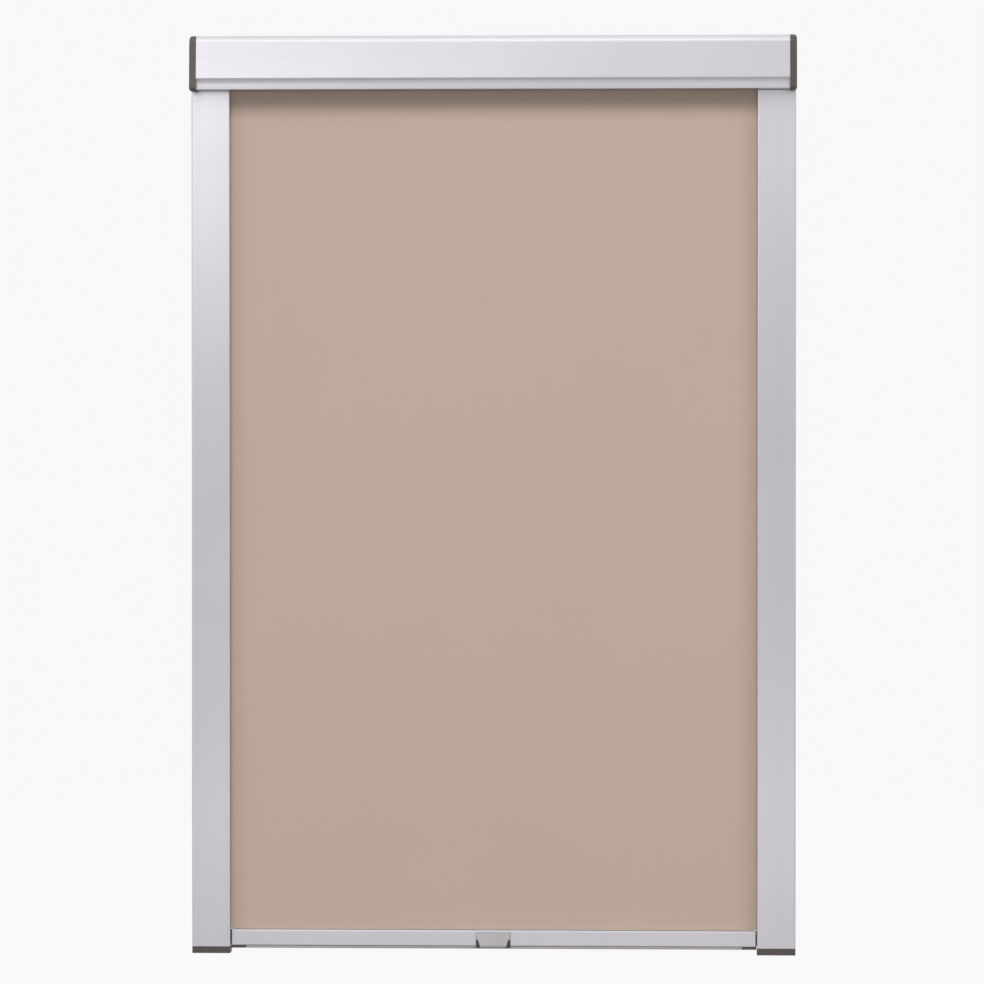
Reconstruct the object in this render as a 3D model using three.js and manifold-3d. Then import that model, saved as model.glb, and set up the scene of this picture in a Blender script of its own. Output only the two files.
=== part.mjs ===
import * as THREE from 'three';
import { mergeVertices } from 'three/addons/utils/BufferGeometryUtils.js';
import Module from 'manifold-3d';

// Sizes are in millimetres. X runs across the blind, Y from its front to its back, Z up.
// The origin is the middle of the cassette's flat back face.

// Whole blind
const blindWidth = 613;
const seatGap = 0.3;
const runGap = 0.2;
const cutOverrun = 2;
const joinSink = 0.4;

// Cassette cover and back plate
const cassetteHeight = 54.4;
const cassetteDepth = 40;
const faceLean = 4;
const coverWall = 1.3;
const coverTopRadius = 8;
const bendInside = 0.3;
const lipHeight = 8;
const lipSetback = 0.8;
const lipEdgeRadius = 1;
const coveHeight = 3.3;
const coveDepth = 3.2;
const coveEdgeRadius = 1.4;
const coveRadius = 9;
const backWall = 1.5;
const hookDepth = 7;
const catchWall = 1.2;
const catchDrop = 2.4;
const slotHalfWidth = 3.8;
const slotUpstand = 4;
const portRadius = 3.2;
const portBore = 1.6;
const portInset = 8.4;
const portDrop = 7;

// End caps
const capThickness = 7;
const capProud = 0.7;
const capRise = 0.3;
const capDrop = 1.5;
const capBottomRadius = 4;
const capEdgeRound = 2.6;
const capRibLength = 4;
const capRibWall = 1.5;
const capTopRibSetback = 12;
const capTopRibMargin = 2;
const capFrontRibHeight = 16;
const capFrontRibTop = 10;
const bossRadius = 8;
const bossLength = 6;
const bossSocket = 1;
const tongueLength = 18;
const screwHeadRadius = 3.2;
const screwHeadHeight = 1.9;
const screwRadius = 1.35;
const screwLength = 16;
const screwTip = 1.6;
const recessLength = 3.4;
const recessWidth = 0.7;
const recessDepth = 1;

// Mount brackets, let into the end caps' outer faces
const bracketHeight = 15;
const bracketThickness = 4.4;
const bracketRadius = 2.5;
const bracketRearMargin = 12;
const bracketFrontMargin = 2.7;
const bracketTopMargin = 5;
const bracketHoleRadius = 2.1;
const bracketHoleMargin = 5;
const bracketSinkRadius = 3.8;
const bracketSinkDepth = 1.7;

// Side rails
const railLength = 867.7;
const railWidth = 39;
const railDepth = 18;
const railInset = 0.5;
const trackWall = 1.4;
const railSkin = 1.3;
const guideChannelWidth = 14;
const sideReturn = 3.5;
const lipWidth = 8;
const lipWall = 1.3;
const lipStepBack = 1;
const legWall = 1.2;
const legLength = 5.7;
const wallHoleRadius = 2.5;
const wallHoleMargin = 60;
const wallHoleCount = 3;
const pileHeight = 1.5;
const pileBacking = 0.5;
const pileMargin = 0.5;
const pileGap = 1.2;

// Rail bottom caps
const bottomCapHeight = 6.6;
const bottomCapRadius = 1.6;
const bottomTongueLength = 12;
const stopHeight = 3;
const stopInset = 1;
const tongueDepth = 9.3;

// Roller, its bearings and its spring
const rollerRise = 1;
const rollRoom = 5.4;
const tubeWall = 1;
const channelWidth = 3.4;
const channelDepth = 1.2;
const channelWall = 0.8;
const kederHeight = 0.9;
const plugFlange = 2.5;
const plugLength = 11;
const plugFlangeStep = 0.4;
const endFloat = 0.6;
const pinRadius = 2.5;
const pinInPlug = 7;
const bushWall = 1.8;
const tangShare = 0.6;
const drivePlugLength = 10;
const noseLength = 6;
const noseWall = 1.2;
const collarFlange = 3;
const collarSetback = 19;
const springClearance = 0.6;
const springWireRadius = 0.7;
const springWireLength = 1010;

// Fabric
const fabricDepth = 7.8;
const fabricThickness = 0.4;
const wrapPitch = 0.6;
const wrapGap = 0.15;
const wrapTurns = 2.25;
const fabricBarGap = 0.5;
const tailInset = 1.5;
const hemRadius = 1.6;
const splineRadius = 1.05;

// Bottom bar and its seal
const barHeight = 16.2;
const barDepth = 12.3;
const barRear = 5.3;
const barLift = 1.2;
const barEndGap = 1.5;
const barWall = 1.2;
const barTopRadius = 2.2;
const barFootRadius = 0.8;
const hemDrop = 3.4;
const hemCavityRadius = 1.9;
const hemBossWall = 1.1;
const hemSlotWidth = 1.2;
const sealSlotWidth = 3.2;
const sealHeadWidth = 5;
const sealHeadHeight = 1;
const sealLipHeight = 2.6;
const sealInset = 1;
const sealEdgeRadius = 0.9;

// Finger grip on the bar's face
const gripTopWidth = 35.2;
const gripFootWidth = 26.8;
const gripFootDrop = 1.5;
const gripTopProud = 0.9;
const gripFootProud = 6.2;
const gripTopDrop = 2.4;
const pegRadius = 1.5;
const pegLength = 3;
const pegSpacing = 20;
const pegDrop = 9;

// Bar guides, brake shoes and brake springs
const guidePlugLength = 14;
const guideFlange = 0.8;
const guideBladeHalf = 0.7;
const guideBladeTopGap = 0.7;
const guideBladeLift = 0.6;
const guideHeadWidth = 9;
const guideHeadDepth = 10;
const guideHeadHeight = 22;
const guideHeadMargin = 1;
const pocketDepth = 7;
const shoeRadius = 3;
const shoeWall = 0.7;
const shoeFace = 0.9;
const shoeLength = 7;
const shoeGap = 0.1;
const brakeSpringRadius = 1.8;
const brakeWireRadius = 0.25;
const brakeTurns = 5;

// Facets
const arcSteps = 8;
const roundSides = 32;
const smallSides = 16;
const coilSteps = 8;
const wireSides = 5;
const bevelSteps = 5;

// Places that follow from the sizes
const halfWidth = blindWidth / 2;
const cassetteTop = cassetteHeight / 2;
const cassetteBottom = -cassetteTop;
const cassetteHalf = halfWidth - capThickness;
const capTop = cassetteTop + capRise;
const capBottom = cassetteBottom - capDrop;
const railTop = cassetteBottom - seatGap;
const railBottom = railTop - railLength;
const barBottom = railBottom + barLift;
const barTop = barBottom + barHeight;
const lipEnd = railWidth - lipStepBack;
const lipStart = lipEnd - lipWidth;
const channelStart = lipStart - guideChannelWidth;
const chamberEnd = channelStart - trackWall;
const fabricHalf = halfWidth - railInset - lipStart;
const barHalf = halfWidth - railInset - railWidth - barEndGap;
const bossEnd = cassetteHalf - bossLength;
const tubeHalf = bossEnd - endFloat - plugFlange - seatGap;
// The roll lies between the fabric's plane and the room that it needs to grow behind the face.
const wrapOuter = (faceDepth(rollerRise) - coverWall - rollRoom - fabricDepth) / 2;
const wrapInner = wrapOuter - wrapPitch * wrapTurns;
const rollerDepth = fabricDepth + wrapOuter;
const tubeRadius = wrapInner - wrapGap - fabricThickness / 2;
const tubeInside = tubeRadius - tubeWall;
const channelFloor = tubeRadius - channelDepth;
const channelInside = channelFloor - channelWall;
const barBackDepth = fabricDepth - barRear;
const barFrontDepth = barBackDepth + barDepth;
const hemHeight = barTop - hemDrop;
const hemBossRadius = hemCavityRadius + hemBossWall;
const legInner = trackWall + seatGap;
const tongueStart = legInner + legWall + seatGap;
const tongueEnd = chamberEnd - legWall - seatGap - seatGap;
const tongueBack = trackWall + seatGap;
const springRadius = channelInside - springClearance - springWireRadius;
// The widest round nose that the faceted coil clears
const noseRadius = springRadius * Math.cos(Math.PI / coilSteps) - springWireRadius - seatGap;
const springTurns = Math.round(springWireLength / (2 * Math.PI * springRadius));
const shaftRadius = noseRadius - noseWall - runGap;
const bracketFront = faceDepth(cassetteTop) + capProud - bracketFrontMargin;
const bracketTop = cassetteTop - bracketTopMargin;
const coverPort = {
  y: portInset - cassetteDepth,
  z: cassetteBottom + coverWall + portRadius - joinSink,
};
const backPort = {
  y: joinSink - backWall - portRadius,
  z: cassetteTop - portDrop,
};

const wasm = await Module();
wasm.setup();

// Solids

function solidOf(geometry) {
  const bare = geometry.clone();
  bare.deleteAttribute('normal');
  bare.deleteAttribute('uv');
  const merged = mergeVertices(bare);
  return new wasm.Manifold(new wasm.Mesh({
    numProp: 3,
    vertProperties: new Float32Array(merged.attributes.position.array),
    triVerts: new Uint32Array(merged.index.array),
  }));
}

function geometryOf(solid) {
  const mesh = solid.getMesh();
  const geometry = new THREE.BufferGeometry();
  geometry.setAttribute('position', new THREE.BufferAttribute(mesh.vertProperties, 3));
  geometry.setIndex(new THREE.BufferAttribute(mesh.triVerts, 1));
  return geometry;
}

function joined(...geometries) {
  return geometryOf(geometries.map(solidOf).reduce((whole, next) => whole.add(next)));
}

function cut(base, ...tools) {
  return geometryOf(tools.map(solidOf).reduce((rest, tool) => rest.subtract(tool), solidOf(base)));
}

// The same piece for the other side: X is reversed, and so is each triangle's order.
function mirrored(geometry) {
  const flipped = geometry.index ? geometry.toNonIndexed() : geometry.clone();
  flipped.scale(-1, 1, 1);
  const places = flipped.attributes.position;
  for (let first = 0; first < places.count; first += 3) {
    const second = new THREE.Vector3().fromBufferAttribute(places, first + 1);
    const third = new THREE.Vector3().fromBufferAttribute(places, first + 2);
    places.setXYZ(first + 1, ...third.toArray());
    places.setXYZ(first + 2, ...second.toArray());
  }
  return flipped;
}

// Outlines

// Turns corners, each [u, v, radius], into points, with an arc where a corner has a radius.
function roundedLine(corners, closed = false) {
  const places = corners.map(([u, v]) => new THREE.Vector2(u, v));
  const points = [];
  corners.forEach(([, , radius = 0], index) => {
    const here = places[index];
    const isEnd = !closed && (index === 0 || index === corners.length - 1);
    if (radius === 0 || isEnd) {
      points.push(here);
      return;
    }
    const back = places.at(index - 1).clone().sub(here);
    const ahead = places[(index + 1) % places.length].clone().sub(here);
    const room = Math.min(back.length(), ahead.length()) / 2;
    back.normalize();
    ahead.normalize();
    const halfAngle = Math.acos(back.dot(ahead)) / 2;
    const reach = Math.min(radius / Math.tan(halfAngle), room);
    const toCentre = back.clone().add(ahead).normalize();
    const centre = toCentre.multiplyScalar(reach / Math.cos(halfAngle)).add(here);
    const start = back.clone().multiplyScalar(reach).add(here);
    const sweep = (Math.PI - 2 * halfAngle) * Math.sign(ahead.cross(back));
    for (let step = 0; step <= arcSteps; step += 1) {
      points.push(start.clone().rotateAround(centre, (sweep * step) / arcSteps));
    }
  });
  return points;
}

// Moves a line of points to its left.
function shifted(points, distance) {
  const last = points.length - 1;
  return points.map((point, index) => {
    const into = point.clone().sub(points[Math.max(index - 1, 0)]);
    const onward = points[Math.min(index + 1, last)].clone().sub(point);
    const first = into.length() > 0 ? into.normalize() : onward.clone().normalize();
    const second = onward.length() > 0 ? onward.normalize() : first;
    const mitre = new THREE.Vector2(-first.y - second.y, first.x + second.x).normalize();
    const stretch = distance / mitre.dot(new THREE.Vector2(-first.y, first.x));
    return mitre.multiplyScalar(stretch).add(point);
  });
}

// 1 where a line turns left, -1 where it turns right and 0 at its ends
function turnAt(points, index) {
  if (index === 0 || index === points.length - 1) {
    return 0;
  }
  const into = points[index].clone().sub(points[index - 1]);
  const onward = points[index + 1].clone().sub(points[index]);
  return Math.sign(into.cross(onward));
}

// A wall of even thickness that lies to the left of a line of corners. Its two sides bend about the same
// centres, and a bend that is tighter than the wall is thick leaves a sharp corner inside.
function band(corners, thickness) {
  const places = corners.map(([u, v]) => new THREE.Vector2(u, v));
  const inside = shifted(places, thickness).map(({ x, y }, index) => {
    const [, , radius = 0] = corners[index];
    return [x, y, radius > 0 ? Math.max(radius - turnAt(places, index) * thickness, 0) : 0];
  });
  return [...roundedLine(corners), ...roundedLine(inside).reverse()];
}

function circle(radius, sides, centre = { y: 0, z: 0 }) {
  return Array.from({ length: sides }, (_, index) => {
    const angle = (index * 2 * Math.PI) / sides;
    return new THREE.Vector2(centre.y + radius * Math.cos(angle), centre.z + radius * Math.sin(angle));
  });
}

// Pile strip: a backing from v = 0 and a narrower pile, with drawn-in edges, that reaches v = height.
function pileOutline(width, height) {
  const half = width / 2;
  const pileHalf = half - pileMargin;
  const crownHalf = pileHalf - pileMargin;
  return [
    [-half, 0], [half, 0], [half, pileBacking], [pileHalf, pileBacking],
    [crownHalf, height], [-crownHalf, height], [-pileHalf, pileBacking], [-half, pileBacking],
  ].map(([u, v]) => new THREE.Vector2(u, v));
}

// Shapes from outlines

const acrossBlind = new THREE.Matrix4().makeBasis(
  new THREE.Vector3(0, 1, 0),
  new THREE.Vector3(0, 0, 1),
  new THREE.Vector3(1, 0, 0),
);

function extruded(points, length, holes) {
  const shape = new THREE.Shape(points);
  shape.holes = holes.map((hole) => new THREE.Path(hole));
  return new THREE.ExtrudeGeometry(shape, { depth: length, bevelEnabled: false });
}

// An outline in (y, z) that runs across the blind.
function alongX(points, from, to, holes = []) {
  return extruded(points, to - from, holes).applyMatrix4(acrossBlind).translate(from, 0, 0);
}

// An outline in (x, y) that runs up the blind.
function alongZ(points, from, to) {
  return extruded(points, to - from, []).translate(0, 0, from);
}

// A block from its lowest to its highest corner.
function block(lowest, highest) {
  const low = new THREE.Vector3(...lowest);
  const high = new THREE.Vector3(...highest);
  const size = high.clone().sub(low);
  const middle = low.add(high).multiplyScalar(1 / 2);
  return new THREE.BoxGeometry(size.x, size.y, size.z).translate(middle.x, middle.y, middle.z);
}

function rodX(radius, from, to, sides, centre) {
  return alongX(circle(radius, sides, centre), from, to);
}

// A round piece about the X axis. Each point of its profile is [x, radius], in the order of rising x.
function turned(profile, sides) {
  const points = profile.map(([x, radius]) => new THREE.Vector2(radius, x));
  return new THREE.LatheGeometry(points, sides).rotateZ(-Math.PI / 2);
}

// A turned piece with a bore: its profile closes on itself.
function turnedRing(profile, bore, sides) {
  const [firstX] = profile[0];
  const [lastX] = profile.at(-1);
  return turned([[firstX, bore], ...profile, [lastX, bore], [firstX, bore]], sides);
}

class Helix extends THREE.Curve {
  constructor(radius, from, to, turns) {
    super();
    Object.assign(this, { radius, from, to, turns });
  }

  getPoint(share, target = new THREE.Vector3()) {
    const angle = 2 * Math.PI * this.turns * share;
    const x = this.from + (this.to - this.from) * share;
    return target.set(x, this.radius * Math.cos(angle), this.radius * Math.sin(angle));
  }
}

function coil(radius, wireRadius, from, to, turns) {
  const wire = new THREE.Shape(circle(wireRadius, wireSides));
  const extrudePath = new Helix(radius, from, to, turns);
  return new THREE.ExtrudeGeometry(wire, { steps: turns * coilSteps, extrudePath, bevelEnabled: false });
}

// The assembly. Side pieces are drawn from the blind's left end inward, and mirrored for the right.

const blind = new THREE.Group();
const roller = new THREE.Group();
const bar = new THREE.Group();
const leftSide = new THREE.Group();
const rightSide = new THREE.Group();
roller.position.set(0, -rollerDepth, rollerRise);
bar.position.z = barBottom;
leftSide.position.x = -halfWidth;
rightSide.position.x = halfWidth;
blind.add(roller, bar, leftSide, rightSide);

const finishes = {
  aluminium: { color: 0xcbc8cd, roughness: 0.42, metalness: 0.85 },
  darkPlastic: { color: 0x574f4c, roughness: 0.55, metalness: 0 },
  gripPlastic: { color: 0xaeaaad, roughness: 0.5, metalness: 0 },
  whitePlastic: { color: 0xd8d6d2, roughness: 0.5, metalness: 0 },
  steel: { color: 0x9a9a9c, roughness: 0.35, metalness: 1 },
  fabric: { color: 0xbca79c, roughness: 0.95, metalness: 0 },
  pile: { color: 0x6e6663, roughness: 1, metalness: 0 },
  rubber: { color: 0x4b4446, roughness: 0.8, metalness: 0 },
};

function place(group, name, geometry, finish, position = [0, 0, 0]) {
  const mesh = new THREE.Mesh(geometry, new THREE.MeshStandardMaterial(finish));
  mesh.name = name;
  mesh.position.set(...position);
  group.add(mesh);
}

function placeBoth(name, geometry, finish, position = [0, 0, 0]) {
  const [x, y, z] = position;
  place(leftSide, `left_${name}`, geometry, finish, [x, y, z]);
  place(rightSide, `right_${name}`, mirrored(geometry), finish, [-x, y, z]);
}

// Cassette

// How far forward the cover's face is at a height.
function faceDepth(z) {
  return cassetteDepth - (faceLean * (z - cassetteBottom)) / cassetteHeight;
}

function screwPort(outline, port, towards) {
  const boss = rodX(portRadius, -cassetteHalf, cassetteHalf, smallSides, port);
  const reach = portRadius + cutOverrun;
  const bore = rodX(portBore, -cassetteHalf - cutOverrun, cassetteHalf + cutOverrun, smallSides, port);
  const mouth = block(
    [-cassetteHalf - cutOverrun, Math.min(port.y, port.y + towards * reach), port.z - portBore / 2],
    [cassetteHalf + cutOverrun, Math.max(port.y, port.y + towards * reach), port.z + portBore / 2],
  );
  return cut(joined(outline, boss), bore, mouth);
}

function makeCassetteCover() {
  const lipTop = cassetteBottom + lipHeight;
  const coveTop = lipTop + coveHeight;
  const lipFront = coveDepth - faceDepth(coveTop);
  const slotEdge = -fabricDepth - slotHalfWidth;
  const corners = [
    [0, cassetteTop],
    [-faceDepth(cassetteTop), cassetteTop, coverTopRadius],
    [-faceDepth(coveTop), coveTop, coveEdgeRadius],
    [lipFront, lipTop, coveRadius],
    [lipFront + lipSetback, cassetteBottom, lipEdgeRadius],
    [slotEdge, cassetteBottom, coverWall + bendInside],
    [slotEdge, cassetteBottom + slotUpstand],
  ];
  const shell = alongX(band(corners, coverWall), -cassetteHalf, cassetteHalf);
  const catchFront = -hookDepth - seatGap;
  const catchBar = block(
    [-cassetteHalf, catchFront - catchWall, cassetteTop - coverWall - catchDrop],
    [cassetteHalf, catchFront, cassetteTop - coverWall / 2],
  );
  return screwPort(joined(shell, catchBar), coverPort, 1);
}

function makeCassetteBack() {
  const top = cassetteTop - coverWall - seatGap;
  const slotEdge = slotHalfWidth - fabricDepth;
  const corners = [[slotEdge, cassetteBottom], [0, cassetteBottom], [0, top], [-hookDepth, top]];
  const shell = alongX(band(corners, backWall), -cassetteHalf, cassetteHalf);
  const upstand = block(
    [-cassetteHalf, slotEdge, cassetteBottom],
    [cassetteHalf, slotEdge + backWall, cassetteBottom + slotUpstand],
  );
  return screwPort(joined(shell, upstand), backPort, -1);
}

// A pile strip that stands on one edge of the fabric slot and points at the fabric.
function makeSlotSeal(towards) {
  const depth = slotHalfWidth - seatGap - pileGap;
  const lift = cassetteBottom + slotUpstand / 2;
  const points = pileOutline(slotUpstand - 2 * seatGap, depth).map(
    ({ x, y }) => new THREE.Vector2(towards * (y - depth - pileGap) - fabricDepth, lift + x),
  );
  return alongX(points, seatGap - cassetteHalf, cassetteHalf - seatGap);
}

// End caps, drawn from their outer face at x = 0 inward

function capSocket(geometry, port) {
  const sink = turned(
    [[-cutOverrun, 0], [-cutOverrun, screwHeadRadius + cutOverrun + runGap],
      [screwHeadHeight + runGap, screwRadius + runGap], [capThickness + cutOverrun, screwRadius + runGap],
      [capThickness + cutOverrun, 0]],
    smallSides,
  );
  return cut(geometry, sink.translate(0, port.y, port.z));
}

function bracketOutline(grow) {
  const front = -bracketFront - grow;
  const rear = grow - bracketRearMargin;
  const top = bracketTop + grow;
  const foot = bracketTop - bracketHeight - grow;
  const radius = bracketRadius + grow;
  const corners = [[front, foot], [rear, foot], [rear, top], [front, top]];
  return roundedLine(corners.map(([y, z]) => [y, z, radius]), true);
}

function makeCapBlank() {
  const outline = new THREE.Shape(roundedLine([
    [0, capTop],
    [-faceDepth(cassetteTop) - capProud, capTop, coverTopRadius + capProud],
    [-cassetteDepth - capProud, capBottom, capBottomRadius],
    [0, capBottom],
  ], true));
  const plate = new THREE.ExtrudeGeometry(outline, {
    depth: capThickness,
    bevelThickness: capEdgeRound,
    bevelSize: capEdgeRound,
    bevelOffset: -capEdgeRound,
    bevelSegments: bevelSteps,
  }).applyMatrix4(acrossBlind).translate(capEdgeRound, 0, 0);
  const beyond = cassetteDepth + capThickness;
  const inside = block(
    [capThickness, -beyond, capBottom - beyond],
    [capThickness + beyond, beyond, capTop + beyond],
  );
  const boss = rodX(bossRadius, capThickness - joinSink, capThickness + bossLength, roundSides, {
    y: -rollerDepth,
    z: rollerRise,
  });
  const ribEnd = capThickness + capRibLength;
  const ribTop = cassetteTop - coverWall - seatGap;
  const topRib = block(
    [capThickness - joinSink, capTopRibMargin + coverTopRadius - faceDepth(cassetteTop), ribTop - capRibWall],
    [ribEnd, -capTopRibSetback, ribTop],
  );
  const frontRibFront = coverWall + seatGap - faceDepth(capFrontRibTop);
  const frontRib = block(
    [capThickness - joinSink, frontRibFront, capFrontRibTop - capFrontRibHeight],
    [ribEnd, frontRibFront + capRibWall, capFrontRibTop],
  );
  // The cap's foot covers the rail's front and stops short of its top end, where a neck carries the tongue.
  const railRoom = block(
    [-cutOverrun, -railDepth - seatGap, capBottom - cutOverrun],
    [capThickness + cutOverrun, cutOverrun, cassetteBottom],
  );
  const tongueFront = -tongueBack - tongueDepth;
  const neck = block(
    [railInset + tongueStart, tongueFront, railTop - joinSink],
    [capThickness, -tongueBack, cassetteBottom + joinSink],
  );
  const tongue = block(
    [railInset + tongueStart, tongueFront, railTop - tongueLength],
    [railInset + tongueEnd, -tongueBack, railTop],
  );
  const body = joined(cut(plate, inside, railRoom), boss, topRib, frontRib, neck, tongue);
  const pocket = alongX(bracketOutline(runGap), -cutOverrun, bracketThickness + seatGap);
  return capSocket(capSocket(cut(body, pocket), coverPort), backPort);
}

function makeLeftCap(blank) {
  const bore = rodX(
    pinRadius + runGap + bushWall + runGap,
    capThickness - bossSocket - runGap,
    capThickness + bossLength + cutOverrun,
    roundSides,
    { y: -rollerDepth, z: rollerRise },
  );
  return cut(blank, bore);
}

function makeRightCap(blank) {
  const halfWide = shaftRadius + runGap;
  const halfThick = shaftRadius * tangShare + runGap;
  const slot = block(
    [capThickness - bossSocket - runGap, -rollerDepth - halfWide, rollerRise - halfThick],
    [capThickness + bossLength + cutOverrun, halfWide - rollerDepth, rollerRise + halfThick],
  );
  return cut(blank, slot);
}

// A countersunk screw whose head is flush with x = 0
function makeScrew() {
  const body = turned(
    [[0, 0], [0, screwHeadRadius], [screwHeadHeight, screwRadius], [screwLength - screwTip, screwRadius],
      [screwLength, 0]],
    smallSides,
  );
  const half = recessLength / 2;
  const thin = recessWidth / 2;
  const upright = block([-cutOverrun, -thin, -half], [recessDepth, thin, half]);
  const level = block([-cutOverrun, -half, -thin], [recessDepth, half, thin]);
  return cut(body, upright, level);
}

function makeBracket() {
  const plate = alongX(bracketOutline(0), 0, bracketThickness);
  const holes = [-bracketFront + bracketHoleMargin, -bracketRearMargin - bracketHoleMargin].map((y) => turned(
    [[-cutOverrun, 0], [-cutOverrun, bracketHoleRadius],
      [bracketThickness - bracketSinkDepth, bracketHoleRadius],
      [bracketThickness + joinSink, bracketSinkRadius], [bracketThickness + joinSink, 0]],
    smallSides,
  ).translate(0, y, bracketTop - bracketHeight / 2));
  return cut(plate, ...holes);
}

// Side rails, drawn with x = 0 at their outer side and z = 0 at their top

function makeTrack() {
  const wallFront = railDepth - sideReturn - seatGap;
  const ribFront = railDepth - railSkin - seatGap;
  const lipFront = fabricDepth - pileGap - pileHeight - seatGap;
  const walls = [
    [0, trackWall, 0, wallFront],
    [0, lipEnd, 0, trackWall],
    [chamberEnd, channelStart, 0, ribFront],
    [lipEnd - lipWall, lipEnd, 0, lipFront],
    [lipStart, lipEnd, lipFront - lipWall, lipFront],
  ].map(([start, end, back, front]) => block([start, -front, -railLength], [end, -back, 0]));
  const pitch = (railLength - 2 * wallHoleMargin) / (wallHoleCount - 1);
  const holes = Array.from({ length: wallHoleCount }, (_, index) => new THREE.CylinderGeometry(
    wallHoleRadius,
    wallHoleRadius,
    trackWall + 2 * cutOverrun,
    smallSides,
  ).translate((trackWall + chamberEnd) / 2, -trackWall / 2, -wallHoleMargin - index * pitch));
  return cut(joined(...walls), ...holes);
}

function makeRailCover() {
  const flangeBack = fabricDepth + pileGap + pileHeight + seatGap;
  const outerEdge = railSkin + bendInside;
  const corners = [
    [lipStart, flangeBack],
    [railWidth, flangeBack, outerEdge],
    [railWidth, railDepth, outerEdge],
    [0, railDepth, outerEdge],
    [0, railDepth - sideReturn],
  ];
  const outline = band(corners, railSkin).map(({ x, y }) => new THREE.Vector2(x, -y));
  const legBack = railDepth - railSkin - legLength;
  const legs = [legInner, chamberEnd - seatGap - legWall].map((start) => block(
    [start, joinSink - railDepth, -railLength],
    [start + legWall, -legBack, 0],
  ));
  return joined(alongZ(outline, -railLength, 0), ...legs);
}

// The strip on the front or rear lip, whose pile faces the fabric
function makeFleece(towards) {
  const middle = (lipStart + lipEnd) / 2;
  const points = pileOutline(lipWidth - seatGap, pileHeight).map(
    ({ x, y }) => new THREE.Vector2(middle + x, -fabricDepth + towards * (y - pileHeight - pileGap)),
  );
  return alongZ(points, seatGap - railLength, -seatGap);
}

function makeBottomCap() {
  const top = -railLength - seatGap;
  const plate = alongZ(roundedLine([
    [0, 0],
    [railWidth, 0],
    [railWidth, -railDepth, bottomCapRadius],
    [0, -railDepth, bottomCapRadius],
  ], true), top - bottomCapHeight, top);
  const tongue = block(
    [tongueStart, -tongueBack - tongueDepth, top - joinSink],
    [tongueEnd, -tongueBack, bottomTongueLength - railLength],
  );
  const stopEnd = lipStart - guideHeadMargin - stopInset;
  const stop = block(
    [stopEnd - guideHeadWidth + 2 * stopInset, -fabricDepth - guideHeadDepth / 2, top - joinSink],
    [stopEnd, guideHeadDepth / 2 - fabricDepth, stopHeight - railLength],
  );
  return joined(plate, tongue, stop);
}

// Roller, about its own axis

function makeTube() {
  const outer = circle(tubeRadius, roundSides);
  const inner = circle(tubeInside, roundSides);
  const ring = alongX(outer, -tubeHalf, tubeHalf, [inner]);
  const half = channelWidth / 2;
  const channel = block(
    [-tubeHalf, -half - channelWall, channelInside],
    [tubeHalf, half + channelWall, tubeRadius - tubeWall / 2],
  );
  const groove = block(
    [-tubeHalf - cutOverrun, -half, channelFloor],
    [tubeHalf + cutOverrun, half, tubeRadius + cutOverrun],
  );
  return cut(joined(ring, channel), groove);
}

function makeKeder() {
  const half = channelWidth / 2 - runGap;
  const foot = channelFloor + runGap;
  return block([-fabricHalf, -half, foot], [fabricHalf, half, foot + kederHeight]);
}

function makeWraps() {
  const steps = Math.round(wrapTurns * roundSides);
  const side = (offset) => Array.from({ length: steps + 1 }, (_, index) => {
    const share = index / steps;
    const angle = 2 * Math.PI * wrapTurns * share;
    const radius = wrapOuter + (wrapInner - wrapOuter) * share + offset;
    return new THREE.Vector2(radius * Math.cos(angle), radius * Math.sin(angle));
  });
  const half = fabricThickness / 2;
  return alongX([...side(half), ...side(-half).reverse()], -fabricHalf, fabricHalf);
}

// The notch that lets a plug pass the tube's channel
function channelNotch(from, to) {
  const half = channelWidth / 2 + channelWall + runGap;
  return block([from, -half, channelInside - runGap], [to, half, tubeRadius + cutOverrun]);
}

function makeEndPlug(bore) {
  const flangeEnd = tubeHalf + seatGap + plugFlange;
  const body = turnedRing([
    [tubeHalf - plugLength, tubeInside - runGap],
    [tubeHalf + seatGap, tubeInside - runGap],
    [tubeHalf + seatGap, tubeRadius - plugFlangeStep],
    [flangeEnd, tubeRadius - plugFlangeStep],
  ], bore, roundSides);
  return cut(body, channelNotch(tubeHalf - plugLength - cutOverrun, tubeHalf + seatGap));
}

function makeIdlerPin() {
  return turned([
    [tubeHalf - pinInPlug, 0],
    [tubeHalf - pinInPlug, pinRadius],
    [cassetteHalf + bossSocket - seatGap, pinRadius],
    [cassetteHalf + bossSocket - seatGap, 0],
  ], smallSides);
}

function makeBush() {
  const bore = pinRadius + runGap;
  const outside = bore + bushWall;
  return turnedRing([[bossEnd, outside], [cassetteHalf + bossSocket, outside]], bore, roundSides);
}

function makeSpringShaft() {
  const round = rodX(shaftRadius, runGap, bossEnd, smallSides);
  const tangHalf = shaftRadius * Math.cos(Math.PI / smallSides);
  const tangThin = shaftRadius * tangShare;
  const tang = block(
    [bossEnd - joinSink, -tangHalf, -tangThin],
    [cassetteHalf + bossSocket, tangHalf, tangThin],
  );
  return joined(round, tang);
}

function makeDrivePlug() {
  const bodyRadius = tubeInside - runGap;
  const body = turnedRing([
    [0, bodyRadius],
    [drivePlugLength, bodyRadius],
    [drivePlugLength, noseRadius],
    [drivePlugLength + noseLength, noseRadius],
  ], shaftRadius + runGap, roundSides);
  return cut(body, channelNotch(-cutOverrun, drivePlugLength + cutOverrun));
}

function makeAnchorCollar() {
  const flangeStart = tubeHalf - plugLength - collarSetback + noseLength;
  return turnedRing([
    [flangeStart - noseLength, noseRadius],
    [flangeStart, noseRadius],
    [flangeStart, channelInside - runGap],
    [flangeStart + collarFlange, channelInside - runGap],
  ], shaftRadius + runGap, roundSides);
}

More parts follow.
